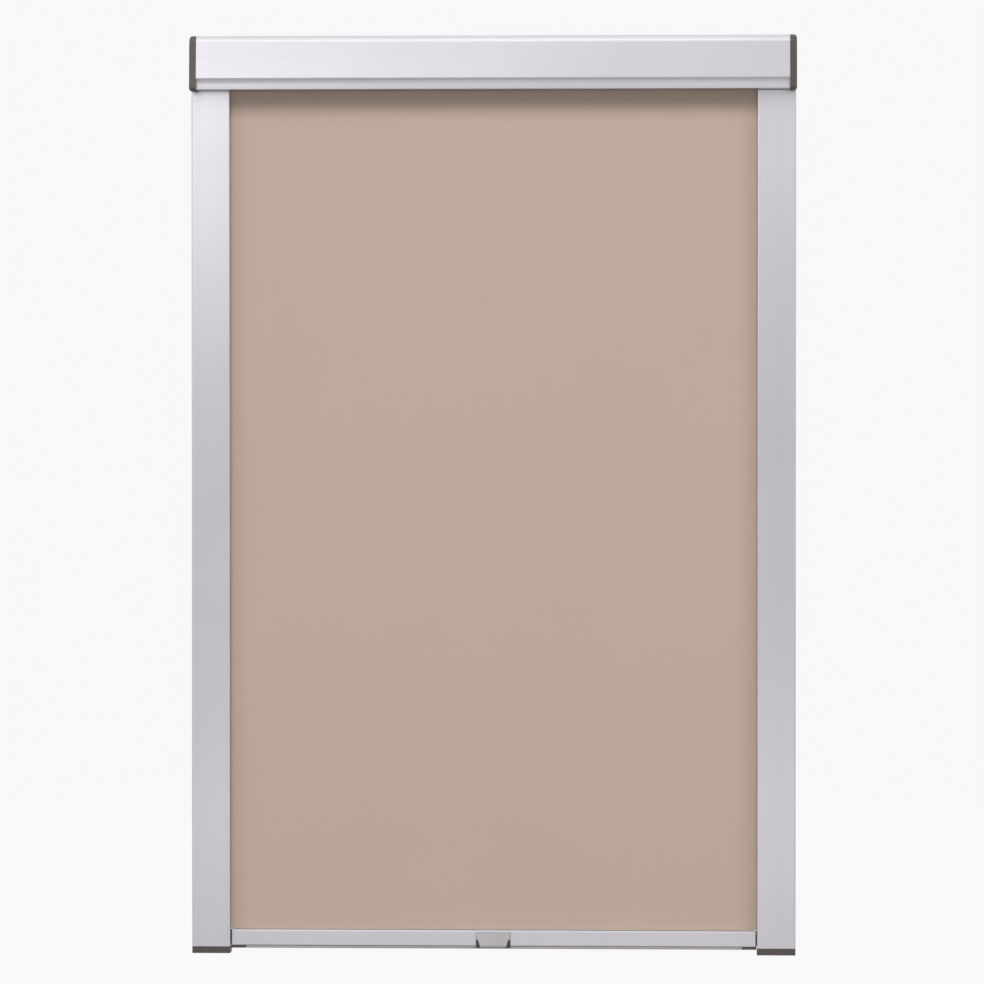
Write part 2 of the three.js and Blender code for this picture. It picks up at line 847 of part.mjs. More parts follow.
function makeTorsionSpring() {
  const clear = seatGap + springWireRadius;
  const end = tubeHalf - plugLength - collarSetback + noseLength;
  return coil(springRadius, springWireRadius, drivePlugLength + clear, end - clear, springTurns);
}

// Fabric: the hanging panel, its narrower tail in the bar and the hem round the spline
function makeFabric() {
  const back = fabricThickness / 2 - fabricDepth;
  const front = -fabricThickness / 2 - fabricDepth;
  const tailHalf = barHalf - tailInset;
  const middle = { y: -fabricDepth, z: hemHeight };
  const panel = block(
    [-fabricHalf, front, barTop + fabricBarGap],
    [fabricHalf, back, rollerRise - seatGap],
  );
  const hemTop = hemHeight + hemRadius - fabricThickness / 2;
  const tail = block([-tailHalf, front, hemTop], [tailHalf, back, barTop + fabricBarGap + joinSink]);
  const hem = alongX(circle(hemRadius, smallSides, middle), -tailHalf, tailHalf, [
    circle(hemRadius - fabricThickness, smallSides, middle),
  ]);
  return joined(panel, tail, hem);
}

// Bottom bar, with z = 0 at its foot

function barOutline(inset) {
  const back = -barBackDepth - inset;
  const front = inset - barFrontDepth;
  const foot = inset;
  const top = barHeight - inset;
  const topRadius = Math.max(barTopRadius - inset, bendInside);
  const footRadius = Math.max(barFootRadius - inset, 0);
  return roundedLine([
    [back, foot, footRadius],
    [back, top, topRadius],
    [front, top, topRadius],
    [front, foot, footRadius],
  ], true);
}

function pegPlaces() {
  return [-1, 1].map((side) => ({ x: (side * pegSpacing) / 2, z: barHeight - pegDrop }));
}

// A round peg or hole that runs from front to back
function rodY(radius, from, to, at) {
  const rod = new THREE.CylinderGeometry(radius, radius, to - from, smallSides);
  return rod.translate(at.x, (from + to) / 2, at.z);
}

function makeBar() {
  const shell = alongX(barOutline(0), -barHalf, barHalf, [barOutline(barWall)]);
  const middle = { y: -fabricDepth, z: barHeight - hemDrop };
  const boss = rodX(hemBossRadius, -barHalf, barHalf, smallSides, middle);
  const end = barHalf + cutOverrun;
  const cavity = rodX(hemCavityRadius, -end, end, smallSides, middle);
  const hemSlot = block(
    [-end, -fabricDepth - hemSlotWidth / 2, middle.z],
    [end, hemSlotWidth / 2 - fabricDepth, barHeight + cutOverrun],
  );
  const sealMiddle = -(barBackDepth + barFrontDepth) / 2;
  const sealSlot = block(
    [-end, sealMiddle - sealSlotWidth / 2, -cutOverrun],
    [end, sealMiddle + sealSlotWidth / 2, barWall + joinSink],
  );
  const pegHoles = pegPlaces().map((at) => rodY(
    pegRadius + runGap,
    -barFrontDepth - cutOverrun,
    barWall + joinSink - barFrontDepth,
    at,
  ));
  return cut(joined(shell, boss), cavity, hemSlot, sealSlot, ...pegHoles);
}

function makeSealStrip() {
  const middle = -(barBackDepth + barFrontDepth) / 2;
  const lip = barDepth / 2 - sealInset;
  const neck = sealSlotWidth / 2 - runGap;
  const head = sealHeadWidth / 2;
  const headFoot = barWall + runGap;
  const half = barHalf - guidePlugLength - seatGap;
  const right = [
    [lip, -seatGap - sealLipHeight, sealEdgeRadius],
    [lip, -seatGap],
    [neck, -seatGap],
    [neck, headFoot],
    [head, headFoot],
    [head, headFoot + sealHeadHeight],
  ];
  const left = right.map(([u, v, radius]) => [-u, v, radius]).reverse();
  const outline = roundedLine([...right, ...left].map(([u, v, radius]) => [middle + u, v, radius]), true);
  return alongX(outline, -half, half);
}

// The finger grip: its foot is narrower in front and stands further forward than its top.
function makeGrip() {
  const back = -barFrontDepth - seatGap;
  const top = barHeight - gripTopDrop;
  const foot = -gripFootDrop;
  const topHalf = gripTopWidth / 2;
  const footHalf = gripFootWidth / 2;
  const places = [
    [-topHalf, back, top], [topHalf, back, top], [topHalf, back, foot], [-topHalf, back, foot],
    [-topHalf, back - gripTopProud, top], [topHalf, back - gripTopProud, top],
    [footHalf, back - gripFootProud, foot], [-footHalf, back - gripFootProud, foot],
  ];
  const wedge = new THREE.BufferGeometry();
  wedge.setAttribute('position', new THREE.Float32BufferAttribute(places.flat(), 3));
  wedge.setIndex([
    0, 1, 2, 0, 2, 3, 4, 7, 6, 4, 6, 5, 0, 4, 5, 0, 5, 1,
    3, 2, 6, 3, 6, 7, 0, 3, 7, 0, 7, 4, 1, 5, 6, 1, 6, 2,
  ]);
  const pegs = pegPlaces().map((at) => rodY(pegRadius, back - joinSink, back + pegLength, at));
  return joined(wedge, ...pegs);
}

// Bar guides, drawn from the blind's end at x = 0 inward

function makeGuide() {
  const barEnd = halfWidth - barHalf;
  const plugBack = -barBackDepth - barWall - runGap;
  const plugFront = barWall + runGap - barFrontDepth;
  const plugTop = barHeight - hemDrop - hemBossRadius - runGap;
  const plug = block(
    [barEnd - runGap - joinSink, plugFront, barWall + runGap],
    [barEnd + guidePlugLength, plugBack, plugTop],
  );
  const flange = alongX(barOutline(seatGap), barEnd - runGap - guideFlange, barEnd - runGap);
  const middle = -(barBackDepth + barFrontDepth) / 2;
  const footHalf = barDepth / 2 - sealInset;
  const foot = block(
    [barEnd - runGap - guideFlange, middle - footHalf, -seatGap - sealLipHeight],
    [barEnd + guidePlugLength, middle + footHalf, -seatGap],
  );
  const heel = block(
    [barEnd - runGap - guideFlange, middle - footHalf, -seatGap - joinSink],
    [barEnd - runGap, middle + footHalf, barWall + joinSink],
  );
  const headEnd = railInset + lipStart - guideHeadMargin;
  const headStart = headEnd - guideHeadWidth;
  const headFoot = railBottom + stopHeight + seatGap - barBottom;
  const blade = block(
    [headEnd - joinSink, -fabricDepth - guideBladeHalf, guideBladeLift],
    [barEnd - runGap, guideBladeHalf - fabricDepth, barHeight - guideBladeTopGap],
  );
  const head = block(
    [headStart, -fabricDepth - guideHeadDepth / 2, headFoot],
    [headEnd, guideHeadDepth / 2 - fabricDepth, headFoot + guideHeadHeight],
  );
  const pocket = rodX(shoeRadius + runGap, headStart - cutOverrun, headStart + pocketDepth, smallSides, {
    y: -fabricDepth,
    z: headFoot + guideHeadHeight / 2,
  });
  return cut(joined(plug, flange, foot, heel, blade, head), pocket);
}

// The brake shoe is a cup whose closed face bears on the rail's middle rib.
function makeShoe() {
  const face = railInset + channelStart + shoeGap;
  const inner = shoeRadius - shoeWall;
  return turned([
    [face, 0],
    [face, shoeRadius],
    [face + shoeLength, shoeRadius],
    [face + shoeLength, inner],
    [face + shoeFace, inner],
    [face + shoeFace, 0],
  ], smallSides);
}

function makeBrakeSpring() {
  const face = railInset + channelStart + shoeGap + shoeFace;
  const floor = railInset + lipStart - guideHeadMargin - guideHeadWidth + pocketDepth;
  const clear = runGap + brakeWireRadius;
  return coil(brakeSpringRadius, brakeWireRadius, face + clear, floor - clear, brakeTurns);
}

// Placing the pieces

place(blind, 'cassette_cover', makeCassetteCover(), finishes.aluminium);
place(blind, 'cassette_back', makeCassetteBack(), finishes.aluminium);
place(blind, 'slot_seal_front', makeSlotSeal(1), finishes.pile);
place(blind, 'slot_seal_rear', makeSlotSeal(-1), finishes.pile);

const capBlank = makeCapBlank();
place(leftSide, 'left_end_cap', makeLeftCap(capBlank), finishes.darkPlastic);
place(rightSide, 'right_end_cap', mirrored(makeRightCap(capBlank)), finishes.darkPlastic);
placeBoth('front_cap_screw', makeScrew(), finishes.steel, [0, coverPort.y, coverPort.z]);
placeBoth('rear_cap_screw', makeScrew(), finishes.steel, [0, backPort.y, backPort.z]);
placeBoth('mount_bracket', makeBracket(), finishes.steel);

placeBoth('rail_track', makeTrack(), finishes.aluminium, [railInset, 0, railTop]);
placeBoth('rail_cover', makeRailCover(), finishes.aluminium, [railInset, 0, railTop]);
placeBoth('front_fleece', makeFleece(1), finishes.pile, [railInset, 0, railTop]);
placeBoth('rear_fleece', makeFleece(-1), finishes.pile, [railInset, 0, railTop]);
placeBoth('rail_bottom_cap', makeBottomCap(), finishes.darkPlastic, [railInset, 0, railTop]);

place(roller, 'roller_tube', makeTube(), finishes.aluminium);
place(roller, 'fabric_wraps', makeWraps(), finishes.fabric);
place(roller, 'tube_keder', makeKeder(), finishes.whitePlastic);
place(roller, 'idler_plug', mirrored(makeEndPlug(pinRadius + runGap)), finishes.whitePlastic);
place(roller, 'idler_pin', mirrored(makeIdlerPin()), finishes.steel);
place(roller, 'bearing_bush', mirrored(makeBush()), finishes.whitePlastic);
place(roller, 'bearing_plug', makeEndPlug(shaftRadius + runGap), finishes.whitePlastic);
place(roller, 'spring_shaft', makeSpringShaft(), finishes.steel);
place(roller, 'spring_drive_plug', makeDrivePlug(), finishes.whitePlastic);
place(roller, 'spring_anchor_collar', makeAnchorCollar(), finishes.whitePlastic);
place(roller, 'torsion_spring', makeTorsionSpring(), finishes.steel);

place(blind, 'blackout_fabric', makeFabric(), finishes.fabric);
place(bar, 'bottom_bar', makeBar(), finishes.aluminium);
place(bar, 'bar_seal_strip', makeSealStrip(), finishes.rubber);
place(bar, 'hem_spline', rodX(splineRadius, tailInset - barHalf, barHalf - tailInset, smallSides, {
  y: -fabricDepth,
  z: barHeight - hemDrop,
}), finishes.whitePlastic);
place(bar, 'finger_grip', makeGrip(), finishes.gripPlastic);

const shoeHeight = railBottom + stopHeight + seatGap + guideHeadHeight / 2;
placeBoth('bar_guide', makeGuide(), finishes.darkPlastic, [0, 0, barBottom]);
placeBoth('brake_shoe', makeShoe(), finishes.darkPlastic, [0, -fabricDepth, shoeHeight]);
placeBoth('brake_spring', makeBrakeSpring(), finishes.steel, [0, -fabricDepth, shoeHeight]);

export default blind;
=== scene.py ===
import math
import random

import bmesh
import bpy
from mathutils import Matrix, Vector
from mathutils.geometry import tessellate_polygon


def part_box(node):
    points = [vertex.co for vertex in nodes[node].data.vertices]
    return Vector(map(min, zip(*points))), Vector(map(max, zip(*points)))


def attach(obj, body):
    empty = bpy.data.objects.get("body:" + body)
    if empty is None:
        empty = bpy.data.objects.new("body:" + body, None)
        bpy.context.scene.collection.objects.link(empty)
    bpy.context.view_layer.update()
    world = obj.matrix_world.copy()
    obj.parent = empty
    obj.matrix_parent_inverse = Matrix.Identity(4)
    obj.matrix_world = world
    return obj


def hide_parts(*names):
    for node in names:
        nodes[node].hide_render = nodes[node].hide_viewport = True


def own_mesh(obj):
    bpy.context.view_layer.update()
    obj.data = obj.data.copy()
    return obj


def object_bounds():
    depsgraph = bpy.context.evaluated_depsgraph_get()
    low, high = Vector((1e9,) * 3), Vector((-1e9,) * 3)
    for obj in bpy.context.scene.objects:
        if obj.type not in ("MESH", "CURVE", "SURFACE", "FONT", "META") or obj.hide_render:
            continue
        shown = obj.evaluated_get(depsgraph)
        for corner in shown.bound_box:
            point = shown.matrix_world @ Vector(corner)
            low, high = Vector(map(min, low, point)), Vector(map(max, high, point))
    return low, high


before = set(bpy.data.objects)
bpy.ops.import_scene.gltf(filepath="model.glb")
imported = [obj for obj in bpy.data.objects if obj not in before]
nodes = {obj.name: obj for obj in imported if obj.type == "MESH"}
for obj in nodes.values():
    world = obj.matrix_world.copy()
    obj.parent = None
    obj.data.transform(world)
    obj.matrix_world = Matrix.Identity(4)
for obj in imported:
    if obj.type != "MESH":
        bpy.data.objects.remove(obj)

# The looks of a cassette roller blind for a roof window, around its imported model. Lengths are in metres.
# X runs across the blind, Y from its front to its back and Z up, from the middle of the cassette's back.

cad_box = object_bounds()
MM = 0.001

# Camera, fitted to the straight edges in the photograph
IMAGE_SIDE_PX = 984
FOCAL_PX = 4926.3
SENSOR_WIDTH = 36.0
CAMERA_PLACE = (0.2003, -5.0, -0.3662)
CAMERA_TURN = 0.0404
CAMERA_TILT = -0.0135
CAMERA_REACH = 100

# Studio
BACKGROUND = (0.94, 0.94, 0.94, 1)
AMBIENT = (0.94, 0.93, 0.96, 1)
AMBIENT_STRENGTH = 0.2
FLOOR_PAINT = (0.3, 0.3, 0.3, 1)
FLOOR_GLOW = (1.0, 1.0, 1.0, 1)
FLOOR_HALF = 14.0
FLOOR_GAP = 0.3 * MM
FLOOR_SHADOW_REACH = 0.5
FLOOR_CLEAR_REACH = 2.2
FLOOR_GLOW_SHARE = 0.93
FRONT_AIM = (0.0, 0.0, -0.4)
TOP_AIM = (0.0, 0.0, 0.0)
FOOT_AIM = (0.0, 0.0, -0.8)
LAMPS = [
    # name, place, aim, width, height, radiance, lights matt surfaces, shows in glossy ones
    ("left_key", (-5.84, -4.09, 3.03), FRONT_AIM, 7.0, 5.4, 1.35, False, True),
    ("right_key", (5.84, -4.09, 3.03), FRONT_AIM, 7.0, 5.4, 1.3, False, True),
    ("left_soft", (-5.84, -4.09, 3.03), FRONT_AIM, 3.8, 3.0, 5.0, True, False),
    ("right_soft", (5.84, -4.09, 3.03), FRONT_AIM, 3.8, 3.0, 5.6, True, False),
    ("front_soft", (0.0, -7.0, 5.2), FRONT_AIM, 4.0, 3.0, 8.0, True, False),
    ("front_key", (-3.6, -5.8, 2.0), FRONT_AIM, 3.3, 2.0, 1.1, True, True),
    ("low_fill", (0.0, -2.6, -0.62), FRONT_AIM, 2.2, 0.4, 4.1, True, False),
    ("left_card", (-0.475, -0.9, 0.04), TOP_AIM, 0.3, 0.36, 2.65, False, True),
    ("middle_card", (-0.15, -0.9, 0.14), TOP_AIM, 0.35, 0.2, 1.4, False, True),
    ("right_card", (0.34, -0.9, -0.01), TOP_AIM, 0.16, 0.14, 3.2, False, True),
    ("top_card", (-0.15, -0.74, 0.86), TOP_AIM, 1.3, 0.9, 1.45, False, True),
    ("sky_card", (0.0, 0.3, 1.3), TOP_AIM, 2.0, 1.0, 0.85, False, True),
    ("foot_card", (0.0, -0.9, -0.83), FOOT_AIM, 1.0, 0.1, 1.9, False, True),
    ("rear_left_lamp", (-1.903, 3.296, 1.375), FRONT_AIM, 1.8, 1.4, 4.0, True, True),
    ("rear_right_lamp", (1.903, 3.296, 1.375), FRONT_AIM, 1.8, 1.4, 4.0, True, True),
]

# Colours, linear
ALUMINIUM = (0.463, 0.453, 0.479)
ALUMINIUM_WORN = (0.62, 0.61, 0.63)
DARK_PLASTIC = (0.051, 0.039, 0.036)
DARK_PLASTIC_WORN = (0.15, 0.135, 0.13)
GRIP_PLASTIC = (0.40, 0.385, 0.40)
GRIP_PLASTIC_WORN = (0.48, 0.47, 0.48)
WHITE_PLASTIC = (0.68, 0.67, 0.64)
STEEL = (0.42, 0.42, 0.43)
FABRIC_FACE = (0.525, 0.408, 0.338)
FABRIC_BACK = (0.70, 0.69, 0.66)
PILE = (0.34, 0.33, 0.32)
RUBBER = (0.40, 0.36, 0.37)

# Parts of a noise's range that are mapped to another range
UNIT = (0.0, 1.0)
NOISE_FULL = (0.2, 0.8)
NOISE_WIDE = (0.25, 0.75)
NOISE_MIDDLE = (0.3, 0.7)
NOISE_CORE = (0.35, 0.65)

# Worn edges: how far a normal turns there, how wide the edge is and how worn it gets
EDGE_TURN = (0.04, 0.3)
EDGE_SAMPLES = 4
METAL_EDGE = 0.35 * MM
METAL_WEAR = (0.2, 0.7)
PLASTIC_EDGE = 0.5 * MM
PLASTIC_WEAR = (0.1, 0.8)

# Surfaces. Noise is given per metre, and the reliefs are depths.
LINES_ACROSS = 2600.0
LINES_ALONG = 10.0
STREAK_SCALE = 0.06
ALUMINIUM_CLOUD = 7.0
ALUMINIUM_CLOUD_SHARE = 0.5
ALUMINIUM_CHANGE = 0.035
ALUMINIUM_METALLIC = 0.9
ALUMINIUM_ROUGHNESS = (0.35, 0.45)
ALUMINIUM_RELIEF = 0.02 * MM
PLASTIC_GRAIN = 1500.0
PLASTIC_CLOUD = 22.0
PLASTIC_CHANGE = 0.07
PLASTIC_SMOOTHER = 0.06
PLASTIC_ROUGHER = 0.08
STEEL_SPANGLE = 700.0
STEEL_CLOUD = 60.0
STEEL_CHANGE = 0.15
STEEL_ROUGHNESS = (0.24, 0.42)
STEEL_RELIEF = 0.02 * MM
THREAD_PITCH = 0.42 * MM
SLUBS = (260.0, 260.0, 2600.0)
SLUB_SHARE = 0.5
FABRIC_CLOUD = 5.0
FABRIC_CLOUD_SHARE = 0.15
FABRIC_CHANGE = 0.05
FABRIC_ROUGHNESS = (0.84, 0.96)
FABRIC_SPECULAR = 0.2
FABRIC_RELIEF = 0.05 * MM
COATING_SKIN = 900.0
COATING_CLOUD = 6.0
COATING_CHANGE = 0.03
COATING_ROUGHNESS = (0.5, 0.64)
COATING_RELIEF = 0.03 * MM
SOFT_CHANGE = 0.22
SOFT_SMOOTHER = 0.06
SOFT_ROUGHER = 0.04

# Rounded edges of the CAD nodes
MERGE_REACH = 0.002 * MM
FLAT_ANGLE = math.radians(0.4)
BEVEL_ANGLE = math.radians(32)
SHARP_ANGLE = math.radians(38)
BEVEL_SEGMENTS = 2

# Fabric
FABRIC_THICKNESS = 0.4 * MM
FABRIC_WAVE = 0.12 * MM
WAVES_ACROSS = 1.5
WAVES_DOWN = 1.0
CLOTH_EDGE = 0.8 * MM
BAR_GAP = 0.5 * MM
PANEL_COLUMNS = 48
PANEL_ROWS = 72
HEM_COLUMNS = 24
HEM_RADIUS = 1.4 * MM
HEM_STEPS = 28
HEM_MOUTH = math.radians(50)
HEM_MOUTH_SHARE = 1.4
HEM_ENTRY_RISE = 1.5 * HEM_RADIUS
HEM_TAIL_RISE = 1.3 * HEM_RADIUS
HEM_OVERLAP = 0.42 * MM
HEM_GAP = 0.15 * MM
ROLL_TURNS = 2.25
ROLL_PITCH = 0.6 * MM
ROLL_STEPS_PER_TURN = 72
ROLL_COLUMNS = 12

# Pile. A tuft's tip is narrower than its foot, slips sideways and is cut at random.
TUFT_PITCH = 1.5 * MM
TUFT_BACKING = 0.5 * MM
TUFT_MARGIN = 0.5 * MM
TUFT_SINK = TUFT_BACKING / 3
TUFT_FEWEST_ROWS = 2
TUFT_REACH = (0.82, 1.0)
TUFT_TIP_SHARE = 0.35
TUFT_SLIP_ALONG = 0.5
TUFT_SLIP_ACROSS = 0.3
TUFT_SEED = 7
CORNERS = ((-1, -1), (1, -1), (1, 1), (-1, 1))
TUFT_FACES = ((0, 3, 2, 1), (4, 5, 6, 7), (0, 1, 5, 4), (1, 2, 6, 5), (2, 3, 7, 6), (3, 0, 4, 7))
BACKING_FACES = ((0, 1, 3, 2), (4, 6, 7, 5), (0, 4, 5, 1), (1, 5, 7, 3), (3, 7, 6, 2), (2, 6, 4, 0))

# Springs
SPRING_SIDES = 10
SPRING_STEPS_PER_TURN = 24
TORSION_WIRE_RADIUS = 0.7 * MM
TORSION_TURNS = 27
BRAKE_WIRE_RADIUS = 0.25 * MM
BRAKE_TURNS = 7
TIGHT_TURNS = 1.5
ALONG_X = Vector((1, 0, 0))

# Finger grip
GRIP_SEAT = 0.3 * MM
GRIP_PLATE = 1.3 * MM
GRIP_BASE = 1.0 * MM
GRIP_HOLLOW_LEAST = 0.2 * MM
GRIP_HOLLOW_TOP_SHARE = 0.46
GRIP_ROWS = 20
GRIP_DISH_POWER = 1.08
GRIP_TOP_PROUD = 0.9 * MM
GRIP_FOOT_HALF = 12.8 * MM
GRIP_EDGE = 0.35 * MM
GRIP_EDGE_SEGMENTS = 3
GRIP_TURN_HEIGHT = 2.6 * MM
GRIP_TURN_BACK = 1.8 * MM
GRIP_TURN_POWER = 1.5


# Materials

class Graph:
    """The shader nodes of one material, or of the world."""

    def __init__(self, owner):
        self.owner = owner
        owner.use_nodes = True
        self.tree = owner.node_tree
        self.tree.nodes.clear()

    def add(self, kind, inputs=None, **settings):
        node = self.tree.nodes.new(kind)
        for key, value in settings.items():
            setattr(node, key, value)
        for key, value in (inputs or {}).items():
            self.feed(node.inputs[key], value)
        return node

    def feed(self, socket, value):
        if isinstance(value, bpy.types.NodeSocket):
            self.tree.links.new(value, socket)
        elif socket.type == "RGBA" and len(value) == 3:
            socket.default_value = (*value, 1)
        else:
            socket.default_value = value

    def math(self, operation, first, second=0.0, clamp=False):
        node = self.add("ShaderNodeMath", {0: first, 1: second}, operation=operation, use_clamp=clamp)
        return node.outputs[0]

    def blend(self, first, second, share):
        """A mean of two values, in which the second has the share."""
        kept = self.math("MULTIPLY", first, 1 - share)
        added = self.math("MULTIPLY", second, share)
        return self.math("ADD", kept, added)

    def spread(self, value, source, target):
        """The value, moved from the source range to the target range."""
        node = self.add("ShaderNodeMapRange", {
            "Value": value,
            "From Min": source[0],
            "From Max": source[1],
            "To Min": target[0],
            "To Max": target[1],
        })
        return node.outputs["Result"]

    def place(self):
        return self.add("ShaderNodeTexCoord").outputs["Object"]

    def noise(self, place, scale, detail=2.0, roughness=0.5):
        scaled = self.add("ShaderNodeVectorMath", {0: place, 1: scale}, operation="MULTIPLY")
        node = self.add("ShaderNodeTexNoise", {
            "Vector": scaled.outputs["Vector"],
            "Scale": 1.0,
            "Detail": detail,
            "Roughness": roughness,
        })
        return node.outputs["Fac"]

    def even_noise(self, place, per_m, detail=3.0, roughness=0.5):
        return self.noise(place, (per_m, per_m, per_m), detail, roughness)

    def mix(self, factor, first, second):
        node = self.add("ShaderNodeMix", data_type="RGBA")
        self.feed(node.inputs["Factor"], factor)
        colour_sockets = [socket for socket in node.inputs if socket.type == "RGBA"]
        self.feed(colour_sockets[0], first)
        self.feed(colour_sockets[1], second)
        return next(socket for socket in node.outputs if socket.type == "RGBA")

    def shades(self, value, colour, change):
        """The colour, darker where the value is low and lighter where it is high."""
        dull = [part * (1 - change) for part in colour]
        bright = [part * (1 + change) for part in colour]
        return self.mix(self.spread(value, NOISE_MIDDLE, UNIT), dull, bright)

    def bump(self, height, distance, strength):
        node = self.add("ShaderNodeBump", {"Height": height, "Distance": distance, "Strength": strength})
        return node.outputs["Normal"]

    def edges(self, radius):
        """0 on flat stretches and 1 on edges that are sharper than the radius."""
        rounded = self.add("ShaderNodeBevel", {"Radius": radius}, samples=EDGE_SAMPLES).outputs["Normal"]
        plain = self.add("ShaderNodeNewGeometry").outputs["Normal"]
        dot = self.add("ShaderNodeVectorMath", {0: rounded, 1: plain}, operation="DOT_PRODUCT")
        off = self.math("SUBTRACT", 1.0, dot.outputs["Value"], clamp=True)
        return self.spread(off, EDGE_TURN, UNIT)

    def wear(self, radius, pattern, amount):
        """How worn the edges are, in patches that follow the pattern."""
        return self.math("MULTIPLY", self.edges(radius), self.spread(pattern, NOISE_CORE, amount))

    def finish(self, **sockets):
        shader = self.add("ShaderNodeBsdfPrincipled", {
            key.replace("_", " "): value for key, value in sockets.items()
        })
        output = self.add("ShaderNodeOutputMaterial")
        self.tree.links.new(shader.outputs["BSDF"], output.inputs["Surface"])
        return self.owner


def material_graph(name):
    return Graph(bpy.data.materials.new(name))


def satin_aluminium(name, along):
    """Drawn along one axis: fine lines and faint streaks that way, and a cloudy anodised tone."""
    graph = material_graph(name)
    place = graph.place()
    scale = [LINES_ACROSS] * 3
    scale["XYZ".index(along)] = LINES_ALONG
    lines = graph.noise(place, scale, detail=3.0, roughness=0.6)
    streaks = graph.noise(place, [value * STREAK_SCALE for value in scale])
    cloud = graph.even_noise(place, ALUMINIUM_CLOUD)
    tone = graph.blend(streaks, cloud, ALUMINIUM_CLOUD_SHARE)
    body = graph.shades(tone, ALUMINIUM, ALUMINIUM_CHANGE)
    wear = graph.wear(METAL_EDGE, cloud, METAL_WEAR)
    return graph.finish(
        Base_Color=graph.mix(wear, body, ALUMINIUM_WORN),
        Metallic=ALUMINIUM_METALLIC,
        Roughness=graph.spread(lines, NOISE_WIDE, ALUMINIUM_ROUGHNESS),
        Normal=graph.bump(lines, ALUMINIUM_RELIEF, strength=0.18),
    )


def moulded_plastic(name, colour, worn, roughness, relief):
    graph = material_graph(name)
    place = graph.place()
    grain = graph.even_noise(place, PLASTIC_GRAIN, roughness=0.65)
    cloud = graph.even_noise(place, PLASTIC_CLOUD)
    body = graph.shades(cloud, colour, PLASTIC_CHANGE)
    wear = graph.wear(PLASTIC_EDGE, grain, PLASTIC_WEAR)
    rough_range = (roughness - PLASTIC_SMOOTHER, roughness + PLASTIC_ROUGHER)
    return graph.finish(
        Base_Color=graph.mix(wear, body, worn),
        Roughness=graph.spread(grain, NOISE_MIDDLE, rough_range),
        Normal=graph.bump(grain, relief, strength=0.5),
    )


def zinc_steel(name):
    graph = material_graph(name)
    place = graph.place()
    spangle = graph.even_noise(place, STEEL_SPANGLE, detail=2.0)
    cloud = graph.even_noise(place, STEEL_CLOUD)
    return graph.finish(
        Base_Color=graph.shades(cloud, STEEL, STEEL_CHANGE),
        Metallic=1.0,
        Roughness=graph.spread(spangle, NOISE_WIDE, STEEL_ROUGHNESS),
        Normal=graph.bump(spangle, STEEL_RELIEF, strength=0.2),
    )


def plain_weave(graph, place):
    """The height of a plain weave: each thread passes over one neighbour and under the next."""
    split = graph.add("ShaderNodeSeparateXYZ", {0: place})
    warp = graph.math("SINE", graph.math("MULTIPLY", split.outputs["X"], math.pi / THREAD_PITCH))
    weft = graph.math("SINE", graph.math("MULTIPLY", split.outputs["Z"], math.pi / THREAD_PITCH))
    over = graph.math("MULTIPLY", warp, weft)
    warp_height = graph.math("MULTIPLY", graph.math("ABSOLUTE", warp), graph.math("ADD", 1.0, over))
    weft_height = graph.math("MULTIPLY", graph.math("ABSOLUTE", weft), graph.math("SUBTRACT", 1.0, over))
    return graph.math("MULTIPLY", graph.math("ADD", warp_height, weft_height), 0.5)


def woven_face(name):
    graph = material_graph(name)
    place = graph.place()
    slubs = graph.noise(place, SLUBS)
    cloud = graph.even_noise(place, FABRIC_CLOUD)
    threads = graph.blend(plain_weave(graph, place), slubs, SLUB_SHARE)
    tone = graph.blend(threads, cloud, FABRIC_CLOUD_SHARE)
    return graph.finish(
        Base_Color=graph.shades(tone, FABRIC_FACE, FABRIC_CHANGE),
        Roughness=graph.spread(slubs, NOISE_FULL, FABRIC_ROUGHNESS),
        Specular_IOR_Level=FABRIC_SPECULAR,
        Normal=graph.bump(threads, FABRIC_RELIEF, strength=0.45),
    )


def coated_back(name):
    graph = material_graph(name)
    place = graph.place()
    skin = graph.even_noise(place, COATING_SKIN)
    cloud = graph.even_noise(place, COATING_CLOUD)
    return graph.finish(
        Base_Color=graph.shades(cloud, FABRIC_BACK, COATING_CHANGE),
        Roughness=graph.spread(skin, NOISE_MIDDLE, COATING_ROUGHNESS),
        Normal=graph.bump(skin, COATING_RELIEF, strength=0.4),
    )


def soft_surface(name, colour, per_m, relief, roughness):
    """Brushed pile or rubber: a matt surface with a fine random relief."""
    graph = material_graph(name)
    grain = graph.even_noise(graph.place(), per_m, roughness=0.7)
    rough_range = (roughness - SOFT_SMOOTHER, roughness + SOFT_ROUGHER)
    return graph.finish(
        Base_Color=graph.shades(grain, colour, SOFT_CHANGE),
        Roughness=graph.spread(grain, NOISE_MIDDLE, rough_range),
        Normal=graph.bump(grain, relief, strength=0.6),
    )


ALUMINIUM_X = satin_aluminium("aluminium_lines_x", "X")
ALUMINIUM_Z = satin_aluminium("aluminium_lines_z", "Z")
CAP_PLASTIC = moulded_plastic(
    "dark_grained_plastic", DARK_PLASTIC, DARK_PLASTIC_WORN, roughness=0.38, relief=0.05 * MM
)
GRIP = moulded_plastic(
    "grip_plastic_satin", GRIP_PLASTIC, GRIP_PLASTIC_WORN, roughness=0.42, relief=0.02 * MM
)
WHITE = moulded_plastic(
    "white_plastic_plain", WHITE_PLASTIC, WHITE_PLASTIC, roughness=0.48, relief=0.02 * MM
)
ZINC = zinc_steel("zinc_plated_steel")
WOVEN = woven_face("fabric_woven_face")
COATED = coated_back("fabric_coated_back")
BRUSH = soft_surface("brushed_pile", PILE, per_m=2400.0, relief=0.2 * MM, roughness=0.92)
SEAL = soft_surface("seal_rubber_matt", RUBBER, per_m=1600.0, relief=0.03 * MM, roughness=0.72)


# Finishing the CAD nodes: their facets are merged, dissolved into flat faces and given small rounded edges.

